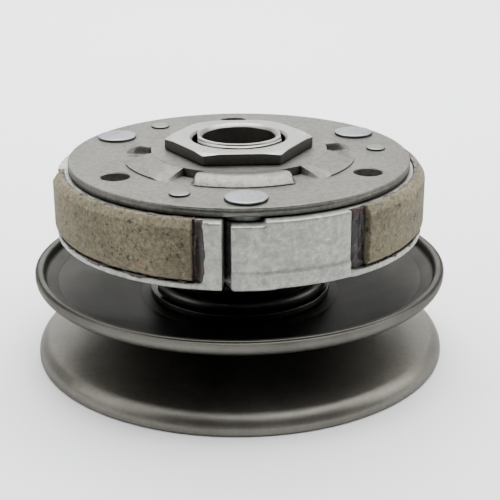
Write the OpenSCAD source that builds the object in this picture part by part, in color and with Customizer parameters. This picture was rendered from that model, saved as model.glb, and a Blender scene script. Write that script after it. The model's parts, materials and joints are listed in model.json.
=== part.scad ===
// Driven pulley of a small scooter's belt drive, with its centrifugal clutch.
// Millimetres. +Z runs up the shaft axis, and the origin is under the centre of the lower rim.
// Pivot pin 1 stands at -90 degrees, and the other two follow at 120 degree steps.

/* [Sheaves] */
// Outer diameter of the lower, fixed sheave
fixed_dia = 126.4; // [125.6:0.2:127]
// Outer diameter of the upper, movable sheave
movable_dia = 126; // [125.4:0.2:126.4]
// Angle of each belt face from the horizontal
face_angle = 14; // [13.8:0.1:14.2]
// Lift of the movable sheave from closed to fully open
travel = 10; // [6:0.5:10]
// Thickness of the fixed sheave's disc, measured along Z
fixed_sheet = 2.9; // [2.5:0.1:3.1]

/* [Hub] */
// Outer diameter of the fixed hub tube
hub_dia = 34; // [33.8:0.1:34]
// Outer diameter of the movable hub sleeve
sleeve_dia = 43.6; // [43.4:0.1:43.6]
// Diameter of the threaded end
thread_dia = 28; // [27.6:0.2:28.4]
// Distance across the two flats of the threaded end
flat_width = 24.8; // [24.4:0.2:26]
// Diameter of the hub's open mouth
mouth_dia = 22; // [20:0.5:22.5]
// Lead radius of the cam slots: one radian of turn per this much lift
cam_lead = 19.5; // [18:0.5:22]
// Diameter of a guide roller
roller_dia = 8; // [7:0.2:8]

/* [Bearings] */
// Outer diameter of both bearings
bearing_dia = 24; // [23.8:0.1:24]
// Bore of the ball bearing
shaft_dia = 12; // [11:0.5:12.5]
// Number of balls
ball_count = 8; // [6:1:8]
// Number of needles
needle_count = 16; // [10:1:16]

/* [Clutch plate] */
// Diameter of the drive plate
plate_dia = 102.6; // [101:0.2:103.4]
// Thickness of the drive plate
plate_t = 2.6; // [2.4:0.1:2.6]
// Height of the dome above the plate
dome_rise = 2.2; // [2:0.1:2.4]
// Pitch radius of the pivot pins
pivot_r = 43.6; // [43.4:0.1:43.8]
// Pitch radius of the damper pins
damper_r = 42.3; // [42:0.1:42.6]
// Pitch radius of the three open holes
hole_r = 41.8; // [41:0.2:43]
// Diameter of the three open holes
hole_dia = 8.3; // [6:0.1:9]
// Clutch nut, across flats
nut_af = 39; // [38:0.5:40]
// Thickness of the clutch nut
nut_t = 3.5; // [3:0.1:3.8]

/* [Shoes] */
// Outer diameter over the linings
lining_dia = 112; // [111.6:0.2:112.4]
// Radial thickness of a lining
lining_t = 3; // [2.6:0.1:3.2]
// Height of a shoe
shoe_h = 19.1; // [18.7:0.1:19.1]
// Inner radius of a shoe
shoe_in_r = 33; // [32:0.5:34]

/* [Springs] */
// Wire diameter of the main spring
wire_dia = 4.4; // [4:0.1:4.4]
// Mean radius of the main spring
spring_r = 25; // [24.9:0.1:25.1]
// Turns of the main spring, with one closed turn at each end
spring_turns = 6; // [5:1:6]

/* [Hidden] */
$fn = 96;

slip = 0.03;          // radial clearance of a fit
run = 0.05;           // radial clearance of a pin or roller
sectors = 3;
step = 360 / sectors;
pivot_az = -90;       // azimuth of pivot pin 1
damper_turn = 95;     // damper pin, counted from its shoe's pivot
hole_turn = 60;       // open hole, counted from a pivot
notch_turn = 32;      // centre of a lanced notch, either side of a pivot
notch_half = 7;

core_r = 26;          // the belt faces end here in a flat centre
fixed_top = 14.38;    // flat centre of the fixed sheave
seat_gap = 0.39;      // gap between the closed sheaves at their centres
movable_low = fixed_top + seat_gap;
hub_r = hub_dia / 2 - slip;
sleeve_r = sleeve_dia / 2;
thread_r = thread_dia / 2;
bearing_r = bearing_dia / 2;
race_r = 9;
ball_r = 1.6;

shoulder_z = 61.1;                       // hub shoulder under the drive plate
dome_top = shoulder_z + plate_t;
plate_top = dome_top - dome_rise;
plate_low = plate_top - plate_t;
hub_end = dome_top + 4.5;
hub_low = 1;
flange_low = 8.4;
flange_top = fixed_top - fixed_sheet;

foot_top = 18.1;                         // top of the movable sheave's foot
collar_low = foot_top + 0.3;
collar_t = 1.5;
collar_r = sleeve_r + 0.65;
sleeve_top = 47;
spring_low = collar_low + collar_t + run;
spring_top = 57.4;
pin_z = 36.4;                            // guide pin height
roller_r = roller_dia / 2;
slot_steps = 24;

shoe_top = plate_low - 0.4;
shoe_low = shoe_top - shoe_h;
boss_low = shoe_low - 0.4;
boss_r = 6.8;
boss_clear = 7.7;
pin_r = 4;
lining_r = lining_dia / 2;
seat_r = lining_r - lining_t;
bond_t = 0.4;
shoe_from = -5;
shoe_to = 112.7;
band_from = 31.4;
lining_from = 37;
lining_to = 104.3;
band_to = 107;
groove_top = 49;                         // ceiling of the clutch spring's groove
groove_r = 39.4;                         // and its outer wall
hook_r = 36;
hook_a = 97;                             // hook post near the shoe's free end
hook_b = 23;                             // hook post near the shoe's pivot
hook_z = 44.5;

module at_pivots(r, turn = 0) {
  for (i = [0 : sectors - 1])
    rotate([0, 0, pivot_az + i * step + turn])
      translate([r, 0, 0])
        children();
}

// A block bent round the axis, between two radii, two azimuths and two heights
module arc_block(r1, r2, a1, a2, z1, z2) {
  rotate([0, 0, a1])
    rotate_extrude(angle = a2 - a1)
      translate([r1, z1])
        square([r2 - r1, z2 - z1]);
}

module disc(r, z1, z2) {
  translate([0, 0, z1])
    cylinder(r = r, h = z2 - z1);
}

module ring(r1, r2, z1, z2) {
  difference() {
    disc(r2, z1, z2);
    disc(r1, z1 - 1, z2 + 1);
  }
}

module torus(r, wire_r, z) {
  translate([0, 0, z])
    rotate_extrude()
      translate([r, 0])
        circle(r = wire_r, $fn = 32);
}

function arc_points(r, z, radius, from, to, n = 10) =
  [for (i = [0 : n]) [r + radius * cos(from + (to - from) * i / n),
                      z + radius * sin(from + (to - from) * i / n)]];

// ---- pulley ----

module fixed_sheave() {
  rim = fixed_dia / 2;
  bend = 5;
  wall = 2.9;
  bend_z = 1.2;
  color("dimgray")
    rotate_extrude()
      polygon(concat(
        [[hub_r + slip, fixed_top], [core_r, fixed_top]],
        arc_points(rim - bend, bend_z, bend, 90 - face_angle, 0),
        [[rim, 0.7], [rim - 0.7, 0], [rim - wall + 0.5, 0], [rim - wall, 0.5]],
        arc_points(rim - bend, bend_z, bend - wall, 0, 90 - face_angle),
        [[core_r, flange_top], [hub_r + slip, flange_top]]));
}

module fixed_hub() {
  chamfer = 0.7;
  tube_r = 15.5;
  flange_r = 25;
  relief = 0.3;
  color("gray")
    difference() {
      union() {
        disc(tube_r, hub_low, flange_top);
        disc(flange_r, flange_low, flange_top);
        disc(hub_r, flange_low + 1, shoulder_z);
        intersection() {
          rotate_extrude()
            polygon([[0, shoulder_z - 1], [thread_r, shoulder_z - 1], [thread_r, hub_end - chamfer],
                     [thread_r - chamfer, hub_end], [0, hub_end]]);
          translate([-flat_width / 2, -thread_r, 0])
            cube([flat_width, 2 * thread_r, hub_end + 1]);
        }
      }
      disc(bearing_r, hub_low - 1, shoulder_z - 2.9);
      disc(mouth_dia / 2, hub_low, hub_end + 1);
      translate([0, 0, hub_end - chamfer])
        cylinder(r1 = mouth_dia / 2, r2 = mouth_dia / 2 + chamfer + relief, h = chamfer + relief);
      ring(bearing_r - 1, bearing_r + 0.8, 50.6, 51.8);
      guide_axis()
        cylinder(r = 2.5 + slip, h = hub_dia);
    }
}

// Places children on the three radial axes of the guide pins
module guide_axis(turn = 0, lift = 0) {
  for (i = [0 : sectors - 1])
    rotate([0, 0, i * step + turn])
      translate([0, 0, pin_z + lift])
        rotate([0, 90, 0])
          children();
}

module guide_pins() {
  color("silver")
    guide_axis()
      translate([0, 0, 13.2])
        cylinder(r = 2.5, h = 8);
}

module guide_roller(i) {
  color("lightgray")
    rotate([0, 0, (i - 1) * step])
      translate([17.25, 0, pin_z])
        rotate([0, 90, 0])
          difference() {
            cylinder(r = roller_r, h = 4);
            translate([0, 0, -1])
              cylinder(r = 2.5 + run, h = 6);
          }
}

module movable_sheave() {
  rim = movable_dia / 2;
  bend = 3.2;
  bend_z = 26.5;
  lip_top = 28.1;
  dish_r = 58.8;
  foot_r = 30.6;
  color("dimgray")
    rotate_extrude()
      polygon(concat(
        [[sleeve_r + slip, movable_low], [core_r, movable_low]],
        arc_points(rim - bend, bend_z, bend, face_angle - 90, 0),
        [[rim, lip_top - 0.6], [rim - 0.4, lip_top - 0.2], [rim - 0.65, lip_top - 0.45],
         [rim - 0.9, lip_top], [rim - 1.7, lip_top]],
        arc_points(rim - 1.9, lip_top - 0.8, 0.8, 80, 170, 5),
        arc_points(dish_r, 26.3, 1.2, 0, -74, 6),
        [[foot_r + 0.4, 17.8], [foot_r, foot_top], [sleeve_r + slip, foot_top]]));
}

module movable_hub() {
  seal_r = 20.5;
  bore_r = hub_dia / 2;
  groove = [seal_r - 0.4, sleeve_r + 1];
  color("gray")
    difference() {
      disc(sleeve_r, movable_low, sleeve_top);
      disc(bore_r, 0, sleeve_top + 1);
      disc(seal_r, movable_low - 1, movable_low + 3.9);
      disc(seal_r, sleeve_top - 3.7, sleeve_top + 1);
      ring(groove[0], groove[1], 19.6, 21.4);
      ring(groove[0], groove[1], 41.2, 43);
      for (k = [0 : slot_steps])
        guide_axis(-k * travel / slot_steps / cam_lead * 180 / PI, -k * travel / slot_steps)
          translate([0, 0, 15])
            cylinder(r = roller_r + run, h = 9);
    }
}

module oil_seals() {
  seal_r = 20.5 - slip;
  lip_r = hub_dia / 2;
  color("saddlebrown")
    for (side = [[movable_low + 0.2, 1], [sleeve_top - 0.1, -1]])
      translate([0, 0, side[0]])
        mirror([0, 0, side[1] < 0 ? 1 : 0])
          rotate_extrude()
            polygon([[lip_r, 0.4], [lip_r + 1.4, 0], [seal_r, 0], [seal_r, 3.4], [seal_r - 1, 3.4],
                     [seal_r - 1, 1.1], [lip_r + 1.2, 1.1], [lip_r + 0.8, 2.4], [lip_r, 1.3]]);
}

module hub_o_rings() {
  wire = 0.85;
  color("black") {
    torus(sleeve_r + slip - wire, wire, 20.5);
    torus(sleeve_r + slip - wire, wire, 42.1);
  }
}

module spring_collar() {
  lip_r = 27.95;
  lip_h = 0.6;
  color("black")
    rotate_extrude()
      polygon([[sleeve_r + run, collar_low], [lip_r, collar_low],
               [lip_r, collar_low + collar_t + lip_h], [lip_r - 0.6, collar_low + collar_t + lip_h],
               [lip_r - 0.6, collar_low + collar_t], [collar_r, collar_low + collar_t],
               [collar_r, 44.5], [sleeve_r + run, 44.5]]);
}

function ease(x) = x <= 0 ? 0 : x >= 1 ? 1 : (1 - cos(180 * x)) / 2;

// Height of the main spring's wire centre after a number of turns, with half a flat turn at each end
function spring_z(t) =
  let (low = spring_low + wire_dia / 2, high = spring_top - wire_dia / 2,
       closed = wire_dia + 0.2, open = (high - low - 2 * closed) / (spring_turns - 2))
  low + closed * ease(2 * t - 1) + open * min(max(t - 1, 0), spring_turns - 2)
  + closed * ease(2 * (t - spring_turns + 1));

module main_spring() {
  sides = 8;
  per_turn = 24;
  rings = spring_turns * per_turn;
  points = [for (k = [0 : rings]) for (s = [0 : sides - 1])
    let (turn = k / per_turn, a = turn * 360 - 160, w = s * 360 / sides + 22.5,
         r = spring_r + wire_dia / 2 * cos(w),
         z = spring_z(turn) + wire_dia / 2 * sin(w))
    [r * cos(a), r * sin(a), min(max(z, spring_low), spring_top)]];
  faces = concat(
    [[for (s = [0 : sides - 1]) s]],
    [for (k = [0 : rings - 1]) for (s = [0 : sides - 1])
      [k * sides + s, (k + 1) * sides + s, (k + 1) * sides + (s + 1) % sides, k * sides + (s + 1) % sides]],
    [[for (s = [sides - 1 : -1 : 0]) rings * sides + s]]);
  color("darkslategray")
    polyhedron(points, faces, convexity = 8);
}

module upper_spring_seat() {
  lip_r = 28.2;
  color("black")
    rotate_extrude()
      polygon([[hub_dia / 2 + 0.1, spring_top], [27.5, spring_top], [27.5, spring_top - 1],
               [lip_r, spring_top - 1], [lip_r, plate_low - 0.1], [25.6, plate_low - 0.1],
               [25.6, shoulder_z], [hub_dia / 2 + 0.1, shoulder_z]]);
}

// ---- bearings ----

bearing_low = 52.1;
bearing_h = 6;
bearing_mid = bearing_low + bearing_h / 2;
needle_low = 1.6;
needle_h = 16;

module bearing_outer_ring() {
  color("silver")
    difference() {
      ring(10.2, bearing_r - slip, bearing_low, bearing_low + bearing_h);
      torus(race_r, ball_r + run, bearing_mid);
    }
}

module bearing_inner_ring() {
  color("silver")
    difference() {
      ring(shaft_dia / 2, 7.8, bearing_low, bearing_low + bearing_h);
      torus(race_r, ball_r + run, bearing_mid);
    }
}

module ball_circle(radius) {
  for (i = [0 : ball_count - 1])
    rotate([0, 0, i * 360 / ball_count])
      translate([race_r, 0, bearing_mid])
        sphere(r = radius, $fn = 32);
}

module bearing_balls() {
  color("white")
    ball_circle(ball_r);
}

module bearing_cage() {
  color("tan")
    difference() {
      ring(race_r - 0.4, race_r + 0.4, bearing_mid - 2, bearing_mid + 2);
      ball_circle(ball_r + run);
    }
}

module bearing_seals() {
  color("saddlebrown")
    for (z = [bearing_low + 0.1, bearing_low + bearing_h - 0.5])
      ring(7.95, 10.2 - slip, z, z + 0.4);
}

module bearing_circlip() {
  lug = 1.5;
  gap = 24;
  color("dimgray")
    union() {
      difference() {
        ring(bearing_r - 1.1, bearing_r + 0.75, 50.7, 51.7);
        arc_block(0, bearing_r + 2, -gap / 2, gap / 2, 50, 52);
      }
      for (side = [-1, 1])
        rotate([0, 0, side * (gap / 2 + 6)])
          translate([bearing_r - 1.6, 0, 50.7])
            difference() {
              cylinder(r = lug, h = 1);
              translate([0, 0, -1])
                cylinder(r = 0.6, h = 3);
            }
    }
}

module needle_shell() {
  color("silver")
    rotate_extrude()
      polygon([[9.7, needle_low], [bearing_r - slip, needle_low],
               [bearing_r - slip, needle_low + needle_h], [9.7, needle_low + needle_h],
               [9.7, needle_low + needle_h - 0.8], [11, needle_low + needle_h - 0.8],
               [11, needle_low + 0.8], [9.7, needle_low + 0.8]]);
}

module needle_circle(radius, z1, z2) {
  for (i = [0 : needle_count - 1])
    rotate([0, 0, i * 360 / needle_count])
      translate([10, 0, 0])
        disc(radius, z1, z2);
}

module needle_rollers() {
  color("white")
    needle_circle(0.96, needle_low + 1.4, needle_low + needle_h - 1.4);
}

module needle_cage() {
  color("tan")
    difference() {
      ring(9.55, 10.45, needle_low + 0.85, needle_low + needle_h - 0.85);
      needle_circle(1.01, needle_low + 1.3, needle_low + needle_h - 1.3);
    }
}

// ---- clutch ----

// The plate's flat outer part and its sheared edge, from the underside round to the top
function rim_points(from_r) =
  let (edge = 0.3, rim = plate_dia / 2)
  [[from_r, plate_low], [rim, plate_low], [rim, plate_top - edge], [rim - edge, plate_top]];

// Cross-section of the plate through a plain sector, where the dome slopes down to the flat
module slope_section() {
  step_h = 0.3;
  polygon(concat([[5, shoulder_z], [26, shoulder_z]], rim_points(34),
                 [[35.05, plate_top], [35, plate_top + step_h], [26.8, dome_top], [5, dome_top]]));
}

// What a bolster hump adds to the dome in front of a pivot, where the dome is carried outwards
module hump_section() {
  ridge = 0.25;
  from = 28.4;
  to = 34.4;
  n = 12;
  polygon(concat(
    [[24, dome_top], [24, shoulder_z + 1], [33, plate_low + 1], [to, plate_top - 0.5]],
    [for (i = [0 : n])
      let (t = i / n)
      [to - (to - from) * t, plate_top + (dome_rise + ridge) * (1 - cos(180 * t)) / 2]]));
}

module drive_plate() {
  notch_in = 26.5;
  color("silver")
    difference() {
      union() {
        rotate_extrude()
          slope_section();
        for (i = [0 : sectors - 1])
          rotate([0, 0, pivot_az + i * step]) {
            rotate([0, 0, -notch_turn])
              rotate_extrude(angle = 2 * notch_turn)
                hump_section();
            for (side = [-1, 1])
              rotate([0, 0, side * notch_turn])
                arc_block(notch_in - 0.6, 34.6, -notch_half, notch_half, plate_low, plate_top - 0.2);
          }
      }
      for (side = [-1, 1])
        at_pivots(0, side * notch_turn)
          arc_block(notch_in, 37, -notch_half, notch_half, plate_top + 0.08, dome_top + 1);
      intersection() {
        disc(thread_r + run, 0, hub_end);
        translate([-flat_width / 2 - run, -20, 0])
          cube([flat_width + 2 * run, 40, hub_end]);
      }
      at_pivots(pivot_r)
        disc(pin_r + run, 0, hub_end);
      at_pivots(damper_r, damper_turn)
        disc(2.5 + run, 0, hub_end);
      at_pivots(hole_r, hole_turn)
        disc(hole_dia / 2, 0, hub_end);
    }
}

module pivot_pins() {
  head_r = 6;
  head_h = 1.1;
  groove_r = 3.2;
  end_z = boss_low - 2.4;
  color("silver")
    at_pivots(pivot_r)
      rotate_extrude()
        polygon(concat(
          [[0, end_z], [pin_r - 0.5, end_z], [pin_r, end_z + 0.5], [pin_r, boss_low - 1.85],
           [groove_r, boss_low - 1.85], [groove_r, boss_low - 1.05], [pin_r, boss_low - 1.05],
           [pin_r, plate_low - 1.4], [head_r, plate_low - 1.4], [head_r, plate_low],
           [pin_r, plate_low], [pin_r, plate_top], [head_r - 0.2, plate_top],
           [head_r, plate_top + 0.2], [head_r, plate_top + head_h - 0.3]],
          [for (i = [0 : 6]) [head_r - 0.2 - (head_r - 0.2) * i / 6,
                              plate_top + head_h - 0.15 * pow(1 - i / 6, 2)]]));
}

module damper_pins() {
  head_r = 2.95;
  head_h = 0.8;
  color("silver")
    at_pivots(damper_r, damper_turn)
      rotate_extrude()
        polygon(concat(
          [[0, 50.2], [2.9, 50.2], [2.9, plate_low], [2.5, plate_low], [2.5, plate_top],
           [head_r, plate_top]],
          [for (i = [0 : 5]) [head_r * (1 - i / 5), plate_top + head_h - 0.2 * pow(1 - i / 5, 2)]]));
}

module damper_rubbers() {
  color("black")
    at_pivots(damper_r, damper_turn)
      rotate_extrude()
        polygon([[2.95, 50.4], [5.6, 50.4], [6, 50.8], [6, 57.9], [5.6, 58.3], [2.95, 58.3]]);
}

module pivot_washers() {
  color("silver")
    at_pivots(pivot_r)
      ring(pin_r + 0.1, 6.2, boss_low - 0.9, boss_low - 0.2);
}

module pivot_clips() {
  color("dimgray")
    at_pivots(pivot_r)
      difference() {
        ring(3.2 + slip, 5.6, boss_low - 1.8, boss_low - 1.1);
        translate([0, -2.1, boss_low - 3])
          cube([8, 4.2, 4]);
        for (side = [-1, 1])
          rotate([0, 0, 180 + side * 60])
            translate([3.9, 0, boss_low - 3])
              cylinder(r = 1, h = 4);
      }
}

// The pocket that lets a shoe swing past its damper rubber
module damper_pocket() {
  clear_r = 6.35;
  throw = 3.8;
  swing = atan2(damper_r * sin(damper_turn), damper_r * cos(damper_turn) - pivot_r) + 90;
  translate([damper_r * cos(damper_turn), damper_r * sin(damper_turn), 50])
    rotate([0, 0, swing]) {
      cylinder(r = clear_r, h = 20);
      translate([throw, 0, 0])
        cylinder(r = clear_r, h = 20);
      translate([0, -clear_r, 0])
        cube([throw, 2 * clear_r, 20]);
    }
}

// The casting before its holes are made: an arc with walls at both ends and a ledge under the lining
module shoe_arc() {
  wall_r = lining_r - 1.5;
  draft = 0.25;
  parting_z = 44.15;
  ledge_top = 41.3;
  difference() {
    arc_block(shoe_in_r, lining_r - 0.7, shoe_from, shoe_to, shoe_low, shoe_top);
    arc_block(seat_r - bond_t, 60, band_from, band_to, ledge_top, shoe_top + 1);
    arc_block(wall_r, 60, shoe_from - 1, band_from + 0.5, parting_z, shoe_top + 2);
    arc_block(wall_r + draft, 61, shoe_from - 2, band_from + 0.3, shoe_low - 1, parting_z + 1);
  }
}

// Spaces in the casting: spring grooves, the next shoe's boss, the damper pocket and the ribs' pockets
module shoe_hollows() {
  arc_block(20, groove_r, shoe_from - 10, 28, 0, groove_top);
  arc_block(20, groove_r, 92, shoe_to + 1, 0, groove_top);
  rotate([0, 0, step])
    translate([pivot_r, 0, 0])
      disc(boss_clear, 0, shoe_top + 1);
  damper_pocket();
  for (a = [34, 48, 62, 76])
    arc_block(38, 48.5, a, a + 11, 0, 53);
}

module shoe(i) {
  recess_z = plate_low - 1.6;
  recess_r = 7.2;
  color("lightsteelblue")
    rotate([0, 0, pivot_az + (i - 1) * step])
      difference() {
        union() {
          difference() {
            shoe_arc();
            shoe_hollows();
          }
          translate([pivot_r, 0, 0])
            disc(boss_r, boss_low, recess_z + 0.5);
          arc_block(groove_r + 0.6, lining_r - 1.3, shoe_from + 0.7, 7.6, boss_low + 0.05, shoe_low + 2);
          for (a = [hook_a, hook_b])
            rotate([0, 0, a])
              translate([hook_r, 0, 0])
                disc(1.5, 41.4, groove_top + 0.5);
        }
        translate([pivot_r, 0, 0]) {
          disc(pin_r + run, 0, shoe_top + 1);
          disc(recess_r, recess_z, shoe_top + 1);
        }
        arc_block(pivot_r, lining_r + 1, -12, 5, recess_z, shoe_top + 1);
      }
}

module lining(i) {
  low = 41.5;
  high = 58.95;
  color("darkkhaki")
    rotate([0, 0, pivot_az + (i - 1) * step + lining_from])
      rotate_extrude(angle = lining_to - lining_from)
        polygon([[seat_r, low], [lining_r - 1.4, low], [lining_r, low + 1.8],
                 [lining_r, high - 2.3], [lining_r - 1.6, high], [seat_r, high]]);
}

module bond(i) {
  low = 41.4;
  high = shoe_top - 0.1;
  gap = 0.1;
  color("black")
    rotate([0, 0, pivot_az + (i - 1) * step])
      difference() {
        arc_block(seat_r - bond_t, seat_r + 1.2, band_from, band_to, low, high);
        arc_block(seat_r, seat_r + 2, lining_from - gap, lining_to + gap, low - 1, high + 1);
        arc_block(seat_r + 0.8, seat_r + 3, band_from - 1, lining_from, low - 2, high + 2);
      }
}

// A tension spring: its close-wound coil is drawn as a sleeve, with a loop at each end
module clutch_spring(i) {
  coil_r = 3.3;
  loop_r = 2.7;
  wire = 0.5;
  chord = step + hook_b - hook_a;
  half = hook_r * sin(chord / 2);
  coil_half = half - loop_r - 1.2;
  color("goldenrod")
    rotate([0, 0, pivot_az + (i - 1) * step + hook_a + chord / 2])
      translate([hook_r * cos(chord / 2), 0, hook_z]) {
        rotate([90, 0, 0])
          translate([0, 0, -coil_half])
            difference() {
              cylinder(r = coil_r, h = 2 * coil_half);
              translate([0, 0, -1])
                cylinder(r = coil_r - 2 * wire, h = 2 * coil_half + 2);
            }
        for (side = [-1, 1]) {
          translate([0, side * half, 0])
            rotate_extrude()
              translate([loop_r - wire, 0])
                circle(r = wire, $fn = 24);
          translate([0, side * coil_half, 0])
            rotate([side * -90, 0, 0]) {
              translate([0, 0, -wire])
                cylinder(r = coil_r - wire, h = 2 * wire);
              cylinder(r = wire, h = 1.7);
            }
        }
      }
}

module clutch_nut() {
  corner_r = nut_af / 2 / cos(30);
  face_r = nut_af / 2 + 0.8;
  drop = (corner_r + 1 - face_r) * tan(15);
  color("silver")
    difference() {
      intersection() {
        translate([0, 0, dome_top])
          cylinder(r = corner_r, h = nut_t, $fn = 6);
        rotate_extrude()
          polygon([[0, dome_top], [corner_r - 1.5, dome_top], [corner_r + 1, dome_top + 1],
                   [corner_r + 1, dome_top + nut_t - drop], [face_r, dome_top + nut_t],
                   [0, dome_top + nut_t]]);
      }
      disc(thread_r + slip, 0, hub_end + 1);
    }
}

fixed_sheave();
fixed_hub();
needle_shell();
needle_rollers();
needle_cage();
bearing_outer_ring();
bearing_inner_ring();
bearing_balls();
bearing_cage();
bearing_seals();
bearing_circlip();
guide_pins();
guide_roller(1);  // guide_roller_1
guide_roller(2);  // guide_roller_2
guide_roller(3);  // guide_roller_3
movable_sheave();
movable_hub();
oil_seals();
hub_o_rings();
spring_collar();
main_spring();
upper_spring_seat();
drive_plate();
pivot_pins();
damper_pins();
damper_rubbers();
shoe(1);  // shoe_1
shoe(2);  // shoe_2
shoe(3);  // shoe_3
lining(1);  // lining_1
lining(2);  // lining_2
lining(3);  // lining_3
bond(1);  // bond_1
bond(2);  // bond_2
bond(3);  // bond_3
clutch_spring(1);  // clutch_spring_1
clutch_spring(2);  // clutch_spring_2
clutch_spring(3);  // clutch_spring_3
pivot_washers();
pivot_clips();
clutch_nut();
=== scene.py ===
import json
import math

import bmesh
import bpy
import numpy as np
from mathutils import Matrix, Vector, noise


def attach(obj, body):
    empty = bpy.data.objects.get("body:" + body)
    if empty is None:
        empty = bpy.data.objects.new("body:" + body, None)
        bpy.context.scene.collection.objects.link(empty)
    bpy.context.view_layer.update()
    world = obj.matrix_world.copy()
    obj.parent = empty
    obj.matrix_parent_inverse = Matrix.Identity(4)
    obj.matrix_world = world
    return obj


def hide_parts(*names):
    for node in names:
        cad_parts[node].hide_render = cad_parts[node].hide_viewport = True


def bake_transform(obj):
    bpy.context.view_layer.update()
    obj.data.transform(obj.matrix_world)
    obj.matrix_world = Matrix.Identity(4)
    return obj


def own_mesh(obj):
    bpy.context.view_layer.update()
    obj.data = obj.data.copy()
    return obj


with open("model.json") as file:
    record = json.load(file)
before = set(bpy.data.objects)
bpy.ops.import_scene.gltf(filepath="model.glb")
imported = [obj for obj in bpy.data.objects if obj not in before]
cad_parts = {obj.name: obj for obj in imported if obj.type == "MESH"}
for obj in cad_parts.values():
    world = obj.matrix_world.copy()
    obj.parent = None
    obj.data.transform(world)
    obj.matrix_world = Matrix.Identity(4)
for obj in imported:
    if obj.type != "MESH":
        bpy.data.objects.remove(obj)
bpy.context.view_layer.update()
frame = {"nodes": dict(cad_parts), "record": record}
NODES = frame["nodes"]
MM = 0.001
PIVOTS = (-90.0, 30.0, 150.0)


# ---------------------------------------------------------------- mesh helpers

def finish_mesh(name, verts_mm, faces, sharp=35.0):
    """Makes an object from points in millimetres, smooth except along edges sharper than the angle."""
    mesh = bpy.data.meshes.new(name)
    mesh.from_pydata([tuple(c * MM for c in v) for v in verts_mm], [], faces)
    bm = bmesh.new()
    bm.from_mesh(mesh)
    bmesh.ops.remove_doubles(bm, verts=bm.verts, dist=1e-7)
    bmesh.ops.recalc_face_normals(bm, faces=bm.faces)
    bm.to_mesh(mesh)
    bm.free()
    obj = bpy.data.objects.new(name, mesh)
    bpy.context.scene.collection.objects.link(obj)
    shade(obj, sharp)
    return obj


def shade(obj, sharp=35.0):
    mesh = obj.data
    mesh.shade_smooth()
    mesh.set_sharp_from_angle(angle=math.radians(sharp))


def grid(name, rows, closed_rows=True, sharp=35.0):
    """Joins equal rows of points into quads. Each row is a closed outline."""
    count, width = len(rows), len(rows[0])
    verts = [p for row in rows for p in row]
    faces = []
    for i in range(count if closed_rows else count - 1):
        j = (i + 1) % count
        for k in range(width):
            n = (k + 1) % width
            faces.append((i * width + k, i * width + n, j * width + n, j * width + k))
    if not closed_rows:
        faces.append(tuple(range(width)))
        faces.append(tuple((count - 1) * width + k for k in range(width)))
    return finish_mesh(name, verts, faces, sharp)


def fillet(corners, steps=4):
    """Rounds a closed outline of (radius, height, fillet) corners."""
    out = []
    n = len(corners)
    for i, (x, y, f) in enumerate(corners):
        p = Vector((x, y))
        a = Vector(corners[i - 1][:2]) - p
        b = Vector(corners[(i + 1) % n][:2]) - p
        if f <= 0 or a.length < 1e-6 or b.length < 1e-6:
            out.append((x, y))
            continue
        turn = a.angle(b)
        cut = min(f / math.tan(turn / 2), a.length * 0.49, b.length * 0.49)
        radius = cut * math.tan(turn / 2)
        centre = p + (a.normalized() + b.normalized()).normalized() * (radius / math.sin(turn / 2))
        start = p + a.normalized() * cut - centre
        end = p + b.normalized() * cut - centre
        sweep = start.angle_signed(end)
        for s in range(steps + 1):
            c = start.copy()
            c.rotate(Matrix.Rotation(-sweep * s / steps, 2))
            out.append(tuple(centre + c))
    return out


def lathe(name, outline, segments=256, sharp=35.0, centre=(0.0, 0.0)):
    """Turns a closed (radius, height) outline about a vertical axis."""
    rows = []
    for s in range(segments):
        a = 2 * math.pi * s / segments
        rows.append([(centre[0] + r * math.cos(a), centre[1] + r * math.sin(a), z)
                     for r, z in outline])
    return grid(name, rows, sharp=sharp)


def dome_head(name, profile, centre, segments=64):
    """Turns an open (radius, height) profile that starts and ends on the axis."""
    verts = [(centre[0], centre[1], profile[0][1])]
    for s in range(segments):
        a = 2 * math.pi * s / segments
        verts += [(centre[0] + r * math.cos(a), centre[1] + r * math.sin(a), z)
                  for r, z in profile[1:-1]]
    verts.append((centre[0], centre[1], profile[-1][1]))
    width = len(profile) - 2
    faces = []
    for s in range(segments):
        i, j = 1 + s * width, 1 + (s + 1) % segments * width
        faces.append((0, i, j))
        faces.append((len(verts) - 1, j + width - 1, i + width - 1))
        faces += [(i + k, i + k + 1, j + k + 1, j + k) for k in range(width - 1)]
    return finish_mesh(name, verts, faces)


def arc(cx, cz, radius, start, end, steps):
    return [(cx + radius * math.cos(math.radians(start + (end - start) * i / steps)),
             cz + radius * math.sin(math.radians(start + (end - start) * i / steps)))
            for i in range(steps + 1)]


def polar(r, degrees):
    return (r * math.cos(math.radians(degrees)), r * math.sin(math.radians(degrees)))


# ---------------------------------------------------------------- sizes of the object
# Millimetres, and degrees about the shaft. R is a distance from the shaft's axis.

PIVOT_R, DAMPER_R, DAMPER_TURN = 43.6, 42.3, 95.0
HOLE_R, HOLE_TURN = 41.8, 60.0
NOTCH_TURN, NOTCH_HALF = 32.0, 7.0
PLATE_LOW, PLATE_TOP, DOME_TOP = 58.9, 61.5, 63.7
DOME_R, HUMP_R, SLOPE_R, PLATE_R = 26.4, 34.15, 35.0, 51.3
THREAD_R, FLAT_R, BORE_R = 14.0, 12.4, 12.0
NUT_APOTHEM, NUT_TOP = 19.5, 67.2
SHOULDER_Z, HUB_END = 61.1, 68.2
SPRING_R, WIRE_R, SPRING_TURNS = 25.0, 2.2, 6
SPRING_LOW, SPRING_TOP = 19.95, 57.4
HOOK_R, HOOK_A, HOOK_B, HOOK_Z = 36.0, 97.0, 23.0, 44.5
SEAT_R = 53.0                             # the linings are bonded on the shoes at this radius
WALL_R = 55.0                             # outer face of the shoes at the ends of the band
BAND_FROM, LINING_FROM, LINING_TO, BAND_TO = 31.4, 37.0, 104.3, 107.0
BAND_LOW, BAND_TOP = 41.32, 58.46
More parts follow.
